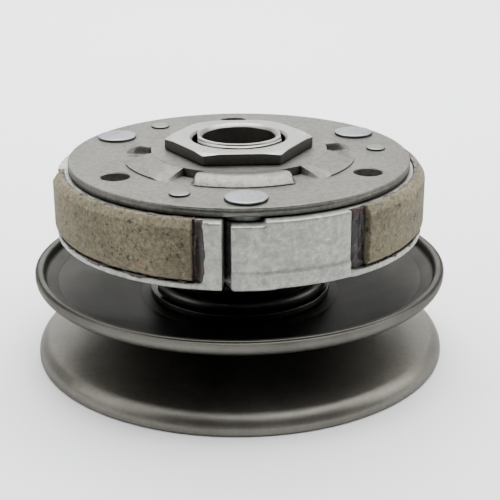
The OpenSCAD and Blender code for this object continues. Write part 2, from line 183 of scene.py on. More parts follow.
LINING_LOW, LINING_TOP = 41.5, 58.95


def ease(x):
    """Goes smoothly from 0 to 1 as x goes from 0 to 1."""
    x = min(max(x, 0.0), 1.0)
    return x * x * (3 - 2 * x)


def upper(a, b, soft):
    """The higher of two values, with the corner between them rounded."""
    return (a + b + math.sqrt((a - b) ** 2 + soft * soft)) / 2


def lower(a, b, soft):
    return -upper(-a, -b, soft)


# ---------------------------------------------------------------- pulley

def fixed_sheave():
    """The lower belt face, pressed from sheet with its rim turned down."""
    bend_r, bend_z = 58.2, 1.2
    outline = [(17.02, 14.2), (17.2, 14.38), (25.4, 14.38), (26.4, 14.28)]
    outline += arc(bend_r, bend_z, 5.0, 76, 0, 14)
    outline += [(63.2, 0.75), (63.05, 0.3), (62.5, 0.02), (60.9, 0.0), (60.45, 0.2), (60.3, 0.6)]
    outline += arc(bend_r, bend_z, 2.1, 0, 76, 8)
    outline += [(26.6, 11.36), (25.6, 11.48), (17.2, 11.48), (17.02, 11.6)]
    return lathe("fixed_sheave_pressing", outline, 360, 28)


def movable_sheave():
    """The upper belt face: a dish with a thick rolled rim and a step where the rim was turned."""
    outline = [(21.84, 14.95), (22.0, 14.77), (25.4, 14.77), (26.4, 14.9)]
    outline += arc(59.8, 26.5, 3.2, -76, 0, 14)
    outline += [(63.0, 27.3), (62.93, 27.62), (62.72, 27.8), (62.56, 27.74), (62.44, 27.6),
                (62.3, 27.6), (62.18, 27.76), (62.08, 27.98), (61.85, 28.1), (61.3, 28.1)]
    outline += arc(61.1, 27.3, 0.8, 80, 170, 6)
    outline += arc(58.8, 26.3, 1.2, 0, -74, 8)
    outline += [(56.3, 24.33), (56.0, 24.16), (55.7, 24.18), (31.5, 17.92), (31.1, 17.86), (30.8, 18.02),
                (30.5, 18.1), (22.1, 18.1), (21.84, 17.95)]
    return lathe("movable_sheave_pressing", outline, 360, 28)


def thread_radius(z, az):
    """A V thread of 1 mm pitch below the hub's end, cut away by two flats."""
    wave = abs((z - az / 360) % 1.0 - 0.5) * 2
    cut = 0.34 * wave if z > SHOULDER_Z + 0.3 else 0.0
    flat = FLAT_R / max(abs(math.cos(math.radians(az))), 1e-6)
    return min(THREAD_R - cut, flat)


def fixed_hub():
    """The tube that carries everything: flange, bearing seats, threaded end with flats."""
    rows = []
    thread = [SHOULDER_Z + 0.05 + 0.14 * i for i in range(46)]
    for az in range(360):
        end_r = min(THREAD_R - 0.7, FLAT_R / max(abs(math.cos(math.radians(az))), 1e-6))
        lip = min(0.42, (end_r - BORE_R) * 0.4)
        outline = [(12.35, 1.0), (15.2, 1.0), (15.5, 1.3), (15.5, 8.4), (24.7, 8.4), (25, 8.7),
                   (25, 11.48), (16.97, 11.48), (16.97, SHOULDER_Z - 0.3), (16.7, SHOULDER_Z)]
        outline += [(thread_radius(z, az), z) for z in thread]
        outline += [(end_r + 0.06, HUB_END - lip - 0.12), (end_r - 0.04, HUB_END - lip * 0.55),
                    (end_r - lip * 0.4, HUB_END - lip * 0.14), (end_r - lip, HUB_END),
                    (BORE_R + lip * 0.8, HUB_END), (BORE_R + lip * 0.3, HUB_END - 0.05),
                    (BORE_R - 0.12, HUB_END - 0.16), (11.15, 67.32), (11.0, 67.1), (11.0, 58.35),
                    (11.15, 58.2), (BORE_R, 58.2), (BORE_R, 51.8), (12.8, 51.8), (12.8, 50.6),
                    (BORE_R, 50.6), (BORE_R, 1.35)]
        rows.append([(*polar(r, az), z) for r, z in outline])
    return grid("fixed_hub_tube", rows, sharp=34)


def movable_hub():
    """The sliding sleeve, with rounded lips at both ends."""
    outline = fillet([(17.0, 18.67, 0), (20.5, 18.67, 0), (20.5, 14.77, 0.2), (21.8, 14.77, 0.3),
                      (21.8, 47, 0.4), (20.5, 47, 0.3), (20.5, 43.3, 0), (17.0, 43.3, 0)])
    return lathe("movable_hub_sleeve", outline, 256, 30)


# ---------------------------------------------------------------- clutch plate, pins and nut

def from_pivot(az):
    """Degrees from the nearest pivot."""
    return min(abs((az - p + 180) % 360 - 180) for p in PIVOTS)


def plate_height(r, az):
    """How far the top face stands above its flat: a dome with a hump by each pivot and lanced notches."""
    rise = DOME_TOP - PLATE_TOP
    off = from_pivot(az)
    along = min(max((r - DOME_R) / 8.0, 0.0), 1.0)
    hump_turn = 26.4 + 2.0 * math.sin(math.pi * along) - 0.8 * along
    hump = ease((hump_turn - off) / 2.6)
    step = 0.42 * ease((off - 42.0) / 6.0)
    slope = lower(rise, step + (rise - step) * (SLOPE_R - r) / 8.2, 0.22)
    slope = upper(slope, 0.0, 0.05) if r < SLOPE_R else 0.0
    crown_r = 29.6
    ridge = rise + 0.40 * math.exp(-((r - crown_r) / 1.9) ** 2)
    ridge -= 0.12 * math.exp(-((r - 25.4) / 1.5) ** 2)
    fall = min(max((r - crown_r) / (HUMP_R - crown_r), 0.0), 1.0)
    ridge = ridge * (1 - fall ** 2.3 * 0.86) if r < HUMP_R else 0.0
    if r < DOME_R + 0.05:
        return rise + (ridge - rise) * hump
    slit = -0.5 * math.exp(-((r - DOME_R - 0.25) / 0.3) ** 2)
    if off < NOTCH_TURN:
        return slit * (1 - hump) + ridge * hump
    wall = ease((off - NOTCH_TURN - NOTCH_HALF + 0.45) / 0.6)
    return slit * (1 - wall) + slope * wall


def plate_underside(r):
    return PLATE_LOW + (SHOULDER_Z - PLATE_LOW) * min(max((34.0 - r) / 8.0, 0.0), 1.0)


def drive_plate():
    """The clutch's pressed top plate. Its rings of points crowd at the notches' and humps' edges."""
    bore_r = THREAD_R + 0.06
    radii = [bore_r, 15, 17, 19, 21, 22.5, 23.4, 24.0, 24.5, 25.0, 25.4, 25.8, 26.15, 26.35, 26.42,
             26.5, 26.62, 26.8, 27.0]
    radii += [27.0 + 0.3 * i for i in range(1, 22)]
    radii += [33.5, 33.7, 33.9, 34.05, 34.13, 34.17, 34.35, 34.6, 34.8, 34.93, 34.98, 35.02, 35.1,
              35.3, 35.7, 36.5, 38, 40, 42, 44, 46, 48, 49.6, 50.6]
    rim = [(51.0, PLATE_TOP), (51.12, 61.46), (51.22, 61.38), (51.28, 61.26), (PLATE_R, 61.1),
           (PLATE_R, 60.78), (51.22, 60.68), (51.18, 60.55), (51.24, 60.42), (PLATE_R, 60.3),
           (PLATE_R, 59.2), (51.18, 58.98), (50.95, PLATE_LOW)]
    rows = []
    segments = 900
    for s in range(segments):
        az = 360 * s / segments
        top = [(*polar(r, az), PLATE_TOP + plate_height(r, az)) for r in radii]
        edge = [(*polar(r, az), z) for r, z in rim]
        under = [(*polar(r, az), plate_underside(r)) for r in (45, 38, 34, 31, 28, 26, 20, bore_r)]
        rows.append(top + edge + under)
    plate = grid("drive_plate_pressing", rows, sharp=30)
    for p in PIVOTS:
        countersunk = [(0, 66), (8.4, 66), (4.15, 61.25), (4.15, 58), (0, 58)]
        drill(plate, countersunk, polar(HOLE_R, p + HOLE_TURN))
    return plate


def drill(obj, profile, centre):
    """Cuts a turned hole through a piece."""
    cutter = dome_head("cutter", profile, centre, 96)
    cut = obj.modifiers.new("hole", "BOOLEAN")
    cut.object = cutter
    cut.solver = "EXACT"
    settle(obj)
    bpy.data.objects.remove(cutter)
    shade(obj, 30)


def settle(obj):
    """Turns an object's modifiers into its mesh."""
    deps = bpy.context.evaluated_depsgraph_get()
    mesh = bpy.data.meshes.new_from_object(obj.evaluated_get(deps))
    obj.modifiers.clear()
    obj.data = mesh


def pivot_pins():
    """Shouldered pins with low domed heads."""
    pins = []
    for number, p in enumerate(PIVOTS, 1):
        crown = [(0, 62.58), (2.0, 62.57), (3.6, 62.54), (4.8, 62.48), (5.4, 62.42), (5.75, 62.34),
                 (5.92, 62.24), (5.98, 62.1), (5.98, 61.8), (5.9, 61.62), (5.7, 61.52), (4.0, 61.5)]
        shank = [(4.0, 58.9), (6.9, 58.9), (7.0, 58.8), (7.0, 57.6), (6.9, 57.5), (4.0, 57.5), (4.0, 37.95),
                 (3.2, 37.95), (3.2, 37.15), (4.0, 37.15), (4.0, 37.0), (3.6, 36.6), (0, 36.6)]
        pins.append(dome_head(f"pivot_pin_{number}", crown + shank, polar(PIVOT_R, p), 72))
    return pins


def damper_pins():
    """Small rivets that hold the rubber dampers."""
    pins = []
    for number, p in enumerate(PIVOTS, 1):
        profile = [(0, 62.28), (1.3, 62.27), (2.1, 62.22), (2.6, 62.14), (2.84, 62.02),
                   (2.93, 61.88), (2.93, 61.7), (2.8, 61.54), (2.5, 61.5), (2.5, 58.9), (2.9, 58.9),
                   (2.9, 50.4), (2.7, 50.2), (0, 50.2)]
        pins.append(dome_head(f"damper_pin_{number}", profile, polar(DAMPER_R, p + DAMPER_TURN), 56))
    return pins


def damper_rubbers():
    """Moulded sleeves with a waist and rounded ends."""
    sleeves = []
    outline = fillet([(2.95, 50.4, 0.2), (6.0, 50.4, 0.6), (6.0, 52.6, 0.6), (5.6, 54.3, 0.8),
                      (6.0, 56.1, 0.6), (6.0, 58.3, 0.6), (2.95, 58.3, 0.2)])
    for number, p in enumerate(PIVOTS, 1):
        sleeves.append(lathe(f"damper_rubber_{number}", outline, 64, 40, polar(DAMPER_R, p + DAMPER_TURN)))
    return sleeves


def clutch_nut():
    """A thin hexagon nut with its corners chamfered."""
    rows = []
    segments = 720
    face_r = NUT_APOTHEM + 0.8
    corner_r = NUT_APOTHEM / math.cos(math.radians(30)) - 0.15
    for s in range(segments):
        az = 360 * s / segments
        turn = az % 60 - 30
        side = lower(NUT_APOTHEM / math.cos(math.radians(turn)), corner_r, 0.25)
        drop = 0.06 + max(side - face_r, 0.0) * math.tan(math.radians(14))
        knee = min(face_r, side - 0.35)
        outline = fillet([(14.04, DOME_TOP + 0.02, 0), (14.04, NUT_TOP - 0.75, 0.15), (14.8, NUT_TOP, 0.25),
                          (knee, NUT_TOP, 0.4), (side, NUT_TOP - drop, 0.16), (side, DOME_TOP + 0.35, 0.2),
                          (side - 0.3, DOME_TOP + 0.02, 0)], 4)
        rows.append([(*polar(r, az), z) for r, z in outline])
    return grid("clutch_nut_hex", rows, sharp=34)


# ---------------------------------------------------------------- shoes, linings and glue

def even_copy(node, name, voxel, softness):
    """A copy of a CAD shape as an even mesh, which can carry casting marks and rough edges."""
    obj = bpy.data.objects.new(name, NODES[node].data.copy())
    bpy.context.scene.collection.objects.link(obj)
    remesh = obj.modifiers.new("even", "REMESH")
    remesh.mode = "VOXEL"
    remesh.voxel_size = voxel * MM
    soften = obj.modifiers.new("soften", "SMOOTH")
    soften.factor = 0.5
    soften.iterations = softness
    settle(obj)
    obj.data.shade_smooth()
    return obj


def roughen(obj, shift):
    """Moves each point along its normal by shift(place in mm), in mm."""
    mesh = obj.data
    moved = []
    for vert in mesh.vertices:
        moved.append(vert.co + vert.normal * (shift(vert.co / MM) * MM))
    mesh.vertices.foreach_set("co", np.array(moved, dtype=np.float32).ravel())
    mesh.update()


def cast_mark(seed):
    """Die-cast skin: soft waves, a fine orange-peel and a few dents."""
    move = Vector((seed * 31.7, seed * 17.3, seed * 9.1))

    def shift(p):
        r = math.hypot(p.x, p.y)
        if math.dist((p.x, p.y), polar(PIVOT_R, PIVOTS[seed - 1])) < 8.2:
            return 0.0
        wave = 0.035 * noise.noise(p * 0.32 + move)
        peel = 0.016 * noise.noise(p * 1.4 + move)
        dent = noise.noise(p * 0.55 - move)
        edge = -0.10 * max(0.0, dent - 0.42) / 0.3 if r > 50 else 0.0
        return wave + peel + edge - 0.02
    return shift


def shoe(number):
    obj = even_copy(f"shoe_{number}", f"shoe_{number}_casting", 0.4, 4)
    roughen(obj, cast_mark(number))
    return obj


def lining_mark(seed):
    """Pressed friction material: granular skin with pits, and chips along its edges."""
    move = Vector((seed * 13.1, -seed * 7.7, seed * 21.9))

    def shift(p):
        grain = 0.05 * noise.noise(p * 1.9 + move) + 0.035 * noise.noise(p * 4.3 + move)
        hollow = noise.noise(p * 1.15 - move) + 0.35 * noise.noise(p * 3.1 + move)
        pit = -0.35 * max(0.0, hollow - 0.62)
        r = math.hypot(p.x, p.y)
        az = (math.degrees(math.atan2(p.y, p.x)) - PIVOTS[seed - 1]) % 360
        ends = min(az - LINING_FROM, LINING_TO - az) * math.radians(r)
        rims = (1 - ends / 0.7, 1 - (p.z - LINING_LOW) / 1.3, 1 - abs(p.z - 56.65) / 0.5,
                1 - (LINING_TOP - p.z) / 0.6)
        near = max(*rims, 0.0) if r > SEAT_R + 0.4 else 0.0
        chip = max(0.0, noise.noise(p * 0.7 + move * 1.3) + 0.5 * noise.noise(p * 2.3 - move) - 0.18)
        return grain + pit - 0.05 - 0.9 * chip * min(near, 1.0)
    return shift


def lining(number):
    obj = even_copy(f"lining_{number}", f"lining_{number}_pad", 0.3, 1)
    roughen(obj, lining_mark(number))
    return obj


def bond(number):
    """The glue line: a film under the lining, and uneven squeezed-out beads past both of its ends."""
    move = Vector((number * 5.3, number * 11.9, -number * 3.7))
    columns, levels = 400, 68
    smear = 1.0
    height = BAND_TOP - BAND_LOW

    def surface(az, z):
        lump = 0.5 + 0.5 * noise.noise(Vector((az * 0.9, z * 0.42, 0)) + move)
        fine = 0.12 * noise.noise(Vector((az * 2.6, z * 1.5, 3)) + move)
        start = LINING_FROM - 0.12
        end = LINING_TO + 0.12
        if start < az < end:
            return SEAT_R - 0.02
        if az <= start:
            reach = ease((az - BAND_FROM - 1.2 * lump) / 1.4)
            return SEAT_R - 0.02 + (0.35 + 0.8 * lump + fine) * reach
        if az < BAND_TO + 0.05:
            slope = ease((az - LINING_TO - 0.6) / (BAND_TO - LINING_TO - 0.6))
            return SEAT_R + 0.5 + 0.7 * lump + fine + (1.1 - 0.6 * lump) * slope
        belly = math.sin(math.pi * min(max((z - BAND_LOW - 1) / (height - 2.5), 0.0), 1.0)) ** 0.45
        edge = BAND_TO + smear * belly * (0.55 + 0.9 * lump)
        return WALL_R + 0.29 + 0.20 * (edge - az) if az < edge else WALL_R + 0.05

    rows = []
    for i in range(columns + 1):
        rel = BAND_FROM + (BAND_TO + 2 * smear - BAND_FROM) * i / columns
        az = rel + PIVOTS[number - 1]
        root = SEAT_R - 0.38 if rel < BAND_TO - 0.1 else WALL_R - 0.1
        row = [(*polar(root, az), BAND_TOP), (*polar(root, az), BAND_LOW)]
        for k in range(levels + 1):
            z = BAND_LOW + height * k / levels
            row.append((*polar(surface(rel, z), az), z))
        rows.append(row)
    return grid(f"bond_{number}_glue", rows, closed_rows=False, sharp=50)


def edge_glue(number):
    """Ragged glue: runs that hang down under the lining, and smears that stand up on its inner top edge."""
    move = Vector((number * 3.1, -number * 6.3, number * 2.2))
    runs = []
    columns = 260
    for seed, root_z, reach, r_in, thick in ((40.1, 41.75, -1.65, 54.5, 1.05), (58.6, 58.6, 0.52, 52.6, 1.3)):
        rows = []
        for i in range(columns + 1):
            rel = LINING_FROM - 0.5 + (LINING_TO - LINING_FROM + 1.0) * i / columns
            blob = noise.noise(Vector((rel * 0.32, seed, 0)) + move)
            blob += 0.5 * noise.noise(Vector((rel * 1.3, seed, 5)) + move)
            size = min(max(0.42 + 1.6 * blob, 0.02), 1.0)
            tip_z = root_z + reach * size
            az = rel + PIVOTS[number - 1]
            section = [(r_in, root_z), (r_in + thick * (0.55 + 0.45 * size), root_z),
                       (r_in + thick * (0.5 + 0.45 * size), (root_z + tip_z) / 2),
                       (r_in + thick * 0.4, tip_z), (r_in, tip_z)]
            rows.append([(*polar(r, az), z) for r, z in section])
        runs.append(grid(f"bond_{number}_edge_{len(runs) + 1}", rows, closed_rows=False, sharp=60))
    return runs


# ---------------------------------------------------------------- springs and collar

def tube(name, path, radius, sides=14):
    """A round wire along a path of points in millimetres, closed with flat ends."""
    points = [Vector(p) for p in path]
    rows = []
    normal = None
    count = len(points)
    for i, p in enumerate(points):
        along = (points[min(i + 1, count - 1)] - points[max(i - 1, 0)]).normalized()
        if normal is None:
            normal = along.orthogonal().normalized()
        normal = (normal - along * normal.dot(along)).normalized()
        side = along.cross(normal)
        rows.append([tuple(p + (normal * math.cos(w) + side * math.sin(w)) * radius)
                     for w in (2 * math.pi * k / sides for k in range(sides))])
    return grid(name, rows, closed_rows=False, sharp=50)


def spring_height(turn):
    """Height of the wire's middle: flat end turns, then an even pitch, then flat again."""
    low, high = SPRING_LOW + WIRE_R, SPRING_TOP - WIRE_R
    closed = 2 * WIRE_R + 0.2
    pitch = (high - low - 2 * closed) / (SPRING_TURNS - 2)
    return (low + closed * ease(2 * turn - 1) + pitch * min(max(turn - 1, 0), SPRING_TURNS - 2)
            + closed * ease(2 * (turn - SPRING_TURNS + 1)))


def main_spring():
    per_turn = 90
    path = [(*polar(SPRING_R, 360 * k / per_turn - 160), spring_height(k / per_turn))
            for k in range(SPRING_TURNS * per_turn + 1)]
    return tube("main_spring_coil", path, WIRE_R - 0.02, 20)


def spring_collar():
    """The pressed seat under the main spring, a sleeve with a turned-up flange."""
    outline = fillet([(21.86, 18.4, 0.3), (27.95, 18.4, 0.5), (27.95, 20.5, 0.25), (27.35, 20.5, 0.25),
                      (27.35, 19.9, 0.2), (22.55, 19.9, 0.4), (22.55, 44.5, 0.3), (21.86, 44.5, 0.3)])
    return lathe("spring_collar_pressing", outline, 256, 35)


def upper_spring_seat():
    outline = fillet([(17.1, 57.42, 0.2), (27.5, 57.42, 0.2), (27.5, 56.4, 0.25), (28.2, 56.4, 0.25),
                      (28.2, 58.8, 0.3), (25.6, 58.8, 0.2), (25.6, 61.05, 0.3), (17.1, 61.05, 0.3)])
    return lathe("upper_spring_seat_ring", outline, 192, 35)


def clutch_spring(number):
    """A close-wound tension spring from one shoe's toe to the next one's heel, in two halves that meet
    halfway."""
    wire, coil_r, loop_r = 0.5, 2.75, 2.2
    per_turn = 16
    start = Vector((*polar(HOOK_R, PIVOTS[number - 1] + HOOK_A), HOOK_Z))
    end = Vector((*polar(HOOK_R, PIVOTS[number - 1] + 120 + HOOK_B), HOOK_Z))
    along = (end - start).normalized()
    out = Vector((start.x + end.x, start.y + end.y, 0)).normalized()
    up = Vector((0, 0, 1))
    loop_length = 4.1
    coil_length = (end - start).length - 2 * loop_length
    turns = int(coil_length / (2 * wire + 0.03))
    rise_to_coil = out * 0.6 + up * 1.0

    def loop(centre, angles):
        angles = [math.radians(a) for a in angles]
        return [centre + (math.cos(a) * along + math.sin(a) * out) * loop_r for a in angles]

    path = loop(start, range(330, 29, -15))
    path.append(start + along * 3.1 + rise_to_coil)
    for k in range(turns * per_turn + 1):
        t = k / per_turn
        w = math.radians(90) - 2 * math.pi * t
        path.append(start + along * (loop_length + coil_length * t / turns)
                    + (math.sin(w) * up + math.cos(w) * out) * coil_r)
    path.append(end - along * 3.1 + rise_to_coil)
    path += loop(end, range(150, -151, -15))
    half = len(path) // 2
    toe_half = tube(f"clutch_spring_{number}_toe_half", path[:half + 1], wire - 0.02, 10)
    heel_half = tube(f"clutch_spring_{number}_heel_half", path[half:], wire - 0.02, 10)
    return toe_half, heel_half, start, end


# ---------------------------------------------------------------- camera, light and stage

def add_camera():
    """The viewpoint: a long lens about 20 degrees above the horizon, a little left of the front."""
    place = (-0.01495, -0.34793, 0.1607)
    forward = Vector((0.0489, 0.9355, -0.3499)).normalized()
    roll = math.radians(-0.2155)
    cam = bpy.data.cameras.new("camera")
    cam.lens = 86.0
    cam.sensor_width = 36.0
    cam.clip_start = 0.01
    obj = bpy.data.objects.new("camera", cam)
    bpy.context.scene.collection.objects.link(obj)
    right = forward.cross(Vector((0, 0, 1))).normalized()
    up = right.cross(forward)
    right, up = (math.cos(roll) * right + math.sin(roll) * up,
                 math.cos(roll) * up - math.sin(roll) * right)
    turn = Matrix((right, up, -forward)).transposed().to_4x4()
    obj.matrix_world = Matrix.Translation(place) @ turn
    bpy.context.scene.camera = obj


def area_light(name, place, target, size, power):
    light = bpy.data.lights.new(name, "AREA")
    light.shape = "RECTANGLE"
    light.size, light.size_y = size
    light.energy = power
    obj = bpy.data.objects.new(name, light)
    bpy.context.scene.collection.objects.link(obj)
    obj.location = place
    obj.rotation_euler = (Vector(target) - Vector(place)).to_track_quat("-Z", "Y").to_euler()


def add_lights():
    """A light tent: bright ceiling and backdrop, with a dark room in front of the object."""
    world = bpy.data.worlds.new("studio")
    bpy.context.scene.world = world
    world.use_nodes = True
    tree = world.node_tree
    coords = tree.nodes.new("ShaderNodeTexCoord")
    aim = tree.nodes.new("ShaderNodeVectorMath")
    aim.operation = "DOT_PRODUCT"
    aim.inputs[1].default_value = (0.24, 0.60, 0.763)
    tree.links.new(coords.outputs["Generated"], aim.inputs[0])
    ramp = tree.nodes.new("ShaderNodeValToRGB")
    bar = ramp.color_ramp
    bar.elements[0].position, bar.elements[0].color = 0.05, (0.035, 0.036, 0.038, 1)
    bar.elements[1].position, bar.elements[1].color = 0.85, (0.74, 0.75, 0.76, 1)
    tree.links.new(aim.outputs["Value"], ramp.inputs[0])
    tree.links.new(ramp.outputs[0], tree.nodes["Background"].inputs["Color"])
    tree.nodes["Background"].inputs["Strength"].default_value = 1.0
    area_light("softbox_top", (0.05, 0.10, 0.75), (0, 0, 0.03), (0.9, 0.7), 13.5)
    area_light("softbox_left", (-0.75, -0.10, 0.45), (0, 0, 0.02), (0.6, 0.6), 2.6)
    area_light("softbox_right", (0.80, 0.05, 0.45), (0, 0, 0.02), (0.5, 0.5), 3.1)
    area_light("backdrop_wash", (0.0, 0.55, 0.9), (0, 1.2, 0.3), (1.2, 0.5), 22.0)


def add_stage():
    """A pale floor that curves up into a backdrop."""
    half, front, back, bend, top = 4.0, -5.0, 1.1, 0.45, 2.2
    drop = 0.02                           # millimetres, so that floor and rim do not share a plane
    line = [(front, 0.0), (back - bend, 0.0)]
    line += arc(back - bend, bend, bend, -90, 0, 16)[1:]
    line.append((back, top))
    verts = []
    for y, z in line:
        verts += [(-half / MM, y / MM, z / MM - drop), (half / MM, y / MM, z / MM - drop)]
    faces = [(2 * i, 2 * i + 1, 2 * i + 3, 2 * i + 2) for i in range(len(line) - 1)]
    floor = finish_mesh("floor", verts, faces, 60)
    floor.data.materials.append(paper("floor_paper"))


# ---------------------------------------------------------------- materials

FINE_GRAIN, CAST_GRAIN, LINING_GRAIN, GLUE_GRAIN = 0.00004, 0.00007, 0.00012, 0.00014   # metres
RIM_INSIDE = 0.0604                                                                     # metres


def linear(*rgb):
    """An sRGB colour of 0 to 255 as the linear colour that shaders take."""
    out = [c / 255 / 12.92 if c / 255 <= 0.04045 else ((c / 255 + 0.055) / 1.055) ** 2.4 for c in rgb]
    return (*out, 1.0)


class Shader:
    """A material and short calls that add its nodes."""

    def __init__(self, name, **settings):
        self.mat = bpy.data.materials.new(name)
        self.mat.use_nodes = True
        self.tree = self.mat.node_tree
        self.bsdf = self.tree.nodes["Principled BSDF"]
        for key, value in settings.items():
            self.bsdf.inputs[key.replace("_", " ")].default_value = value
        coords = self.tree.nodes.new("ShaderNodeTexCoord")
        self.where = coords.outputs["Object"]

    def node(self, kind, **props):
        made = self.tree.nodes.new("ShaderNode" + kind)
        for key, value in props.items():
            setattr(made, key, value)
        return made

    def set(self, socket, value):
        if hasattr(value, "is_output"):
            self.tree.links.new(value, socket)
        else:
            socket.default_value = value

    def maths(self, operation, a, b=0.0):
        made = self.node("Math", operation=operation)
        for socket, value in zip(made.inputs, (a, b)):
            self.set(socket, value)
        return made.outputs[0]

    def noise(self, scale, detail=4.0, rough=0.5, stretch=None, warp=0.0):
        where = self.where
        if stretch:
            mapping = self.node("Mapping")
            mapping.inputs["Scale"].default_value = stretch
            self.set(mapping.inputs["Vector"], where)
            where = mapping.outputs[0]
        made = self.node("TexNoise")
        self.set(made.inputs["Vector"], where)
        made.inputs["Scale"].default_value = scale
        made.inputs["Detail"].default_value = detail
        made.inputs["Roughness"].default_value = rough
        made.inputs["Distortion"].default_value = warp
        return made.outputs["Fac"]

    def cells(self, scale):
        made = self.node("TexVoronoi")
        self.set(made.inputs["Vector"], self.where)
        made.inputs["Scale"].default_value = scale
        return made.outputs["Distance"]

    def rings(self, frequency):
        """Fine turned rings about the vertical axis: noise that only depends on the radius."""
        made = self.node("TexNoise", noise_dimensions="1D")
        self.set(made.inputs["W"], self.maths("MULTIPLY", self.radius(), frequency))
        made.inputs["Scale"].default_value = 1.0
        made.inputs["Detail"].default_value = 3.0
        made.inputs["Roughness"].default_value = 0.6
        return made.outputs["Fac"]

    def ramp(self, value, stops):
        made = self.node("ValToRGB")
        self.set(made.inputs[0], value)
        bar = made.color_ramp
        bar.elements[0].position, bar.elements[0].color = stops[0]
        bar.elements[1].position, bar.elements[1].color = stops[-1]
        for place, colour in stops[1:-1]:
            bar.elements.new(place).color = colour
        return made.outputs[0]

    def levels(self, value, low, high, to_low=0.0, to_high=1.0):
        made = self.node("MapRange")
        self.set(made.inputs["Value"], value)
        for key, number in (("From Min", low), ("From Max", high), ("To Min", to_low), ("To Max", to_high)):
            made.inputs[key].default_value = number
        return made.outputs[0]

    def mix(self, factor, a, b):
        made = self.node("Mix", data_type="RGBA")
        self.set(made.inputs["Factor"], factor)
        self.set(made.inputs[6], a)
        self.set(made.inputs[7], b)
        return made.outputs[2]

    def facing_up(self, low, high):
        """0 to 1 as the surface turns from facing sideways to facing up."""
        split = self.node("SeparateXYZ")
        self.set(split.inputs[0], self.node("NewGeometry").outputs["Normal"])
        return self.levels(split.outputs[2], low, high)

    def radius(self):
        """Distance from the shaft's axis, in metres."""
        split = self.node("SeparateXYZ")
        self.set(split.inputs[0], self.where)
        square = self.maths("ADD", self.maths("MULTIPLY", split.outputs[0], split.outputs[0]),
                            self.maths("MULTIPLY", split.outputs[1], split.outputs[1]))
        return self.maths("SQRT", square)

    def crevice(self, reach):
        """1 in creases and under edges, 0 in the open."""
        made = self.node("AmbientOcclusion", samples=6)
        made.inputs["Distance"].default_value = reach
        return self.levels(made.outputs["AO"], 0.25, 0.8, 1.0, 0.0)

    def both(self, a, b):
        return self.maths("MULTIPLY", a, b)

    def bump(self, height, distance, strength):
        made = self.node("Bump")
        self.set(made.inputs["Height"], height)
        made.inputs["Distance"].default_value = distance
        made.inputs["Strength"].default_value = strength
        return made.outputs[0]

    def end(self, colour, roughness, normal=None):
        self.set(self.bsdf.inputs["Base Color"], colour)
        self.set(self.bsdf.inputs["Roughness"], roughness)
        if normal:
            self.set(self.bsdf.inputs["Normal"], normal)
        return self.mat


def shade_of(colour, share):
    """A colour scaled lighter or darker."""
    return (*(min(1.0, c * share) for c in colour[:3]), 1.0)


def paper(name):
    s = Shader(name)
    colour = s.mix(s.noise(3.0, 2), linear(247, 248, 249), linear(250, 251, 252))
    return s.end(colour, s.levels(s.noise(60, 2), 0, 1, 0.6, 0.7))


def steel(name, mid, rough, grain, turned=0.0, speckle=0.3, crease_shade=0.7, sides=1.0):
    """Machined or pressed steel: cloudy tone, fine grain, specks, and painted shade in its creases.
    turned adds fine rings. sides darkens what faces sideways, a painted dark reflection of the room in front."""
    s = Shader(name, Metallic=1.0, Specular_Tint=(0.6, 0.6, 0.6, 1.0))
    dark, light = shade_of(mid, 0.62), shade_of(mid, 1.3)
    cloud = s.noise(34, 5, 0.62, warp=0.5)
    fine = s.noise(grain, 3, 0.7)
    specks = s.noise(620, 5, 0.8)
    tone = s.ramp(cloud, [(0.30, shade_of(mid, 0.76)), (0.5, mid), (0.70, shade_of(mid, 1.18))])
    tone = s.mix(s.levels(specks, 0.51, 0.62, 0.0, speckle), tone, dark)
    tone = s.mix(s.levels(specks, 0.48, 0.38, 0.0, speckle * 0.8), tone, light)
    height = fine
    if turned:
        lines = s.rings(7000)
        tone = s.mix(s.levels(lines, 0.35, 0.7, 0.0, 0.3), tone, dark)
        height = s.maths("ADD", s.both(lines, turned), fine)
    # Painted shade: faces that turn sideways go towards near-black, the dark room in front painted on as a
    # reflection.
    if sides < 1:
        tone = s.mix(s.facing_up(0.25, 0.7), s.mix(sides, linear(16, 16, 15), tone), tone)
    # Painted shade: creases and the undersides of edges are darkened nearly to black.
    tone = s.mix(s.both(s.crevice(0.0012), crease_shade), tone, shade_of(mid, 0.12))
    roughness = s.levels(s.maths("ADD", cloud, s.both(specks, 0.6)), 0.5, 1.1, rough[0], rough[1])
    return s.end(tone, roughness, s.bump(height, FINE_GRAIN, 0.6))


def pressed_dish():
    """The upper sheave: darker where it faces up inside the rim, lighter on the rim and on faces that turn
    sideways, with fine rings all over.
    """
    s = Shader("sheave_steel_dish", Metallic=1.0, Specular_Tint=(0.55, 0.55, 0.55, 1.0))
    dish_colour, bright = linear(71, 70, 67), linear(97, 95, 89)
    cloud = s.noise(30, 6, 0.65, warp=0.6)
    specks = s.noise(500, 5, 0.8)
    lines = s.rings(6500)
    # Darker where the dish faces up inside the rim, lighter on the rim and where it faces sideways.
    inside = s.both(s.levels(s.radius(), RIM_INSIDE + 0.0006, RIM_INSIDE), s.facing_up(0.3, 0.6))
    tone = s.mix(inside, bright, dish_colour)
    tone = s.mix(s.levels(cloud, 0.35, 0.7, 0.0, 0.45), tone, shade_of(dish_colour, 0.7))
    tone = s.mix(s.levels(specks, 0.58, 0.72, 0.0, 0.3), tone, shade_of(dish_colour, 0.45))
    tone = s.mix(s.levels(specks, 0.40, 0.30, 0.0, 0.25), tone, shade_of(bright, 1.3))
    tone = s.mix(s.levels(lines, 0.4, 0.7, 0.0, 0.35), tone, shade_of(dish_colour, 0.8))
    # Painted shade: creases and the undersides of edges are darkened nearly to black.
    tone = s.mix(s.both(s.crevice(0.0025), 0.75), tone, shade_of(dish_colour, 0.15))
    height = s.maths("ADD", s.both(lines, 1.3), specks)
    return s.end(tone, s.levels(cloud, 0.3, 0.7, 0.34, 0.46), s.bump(height, FINE_GRAIN, 0.6))


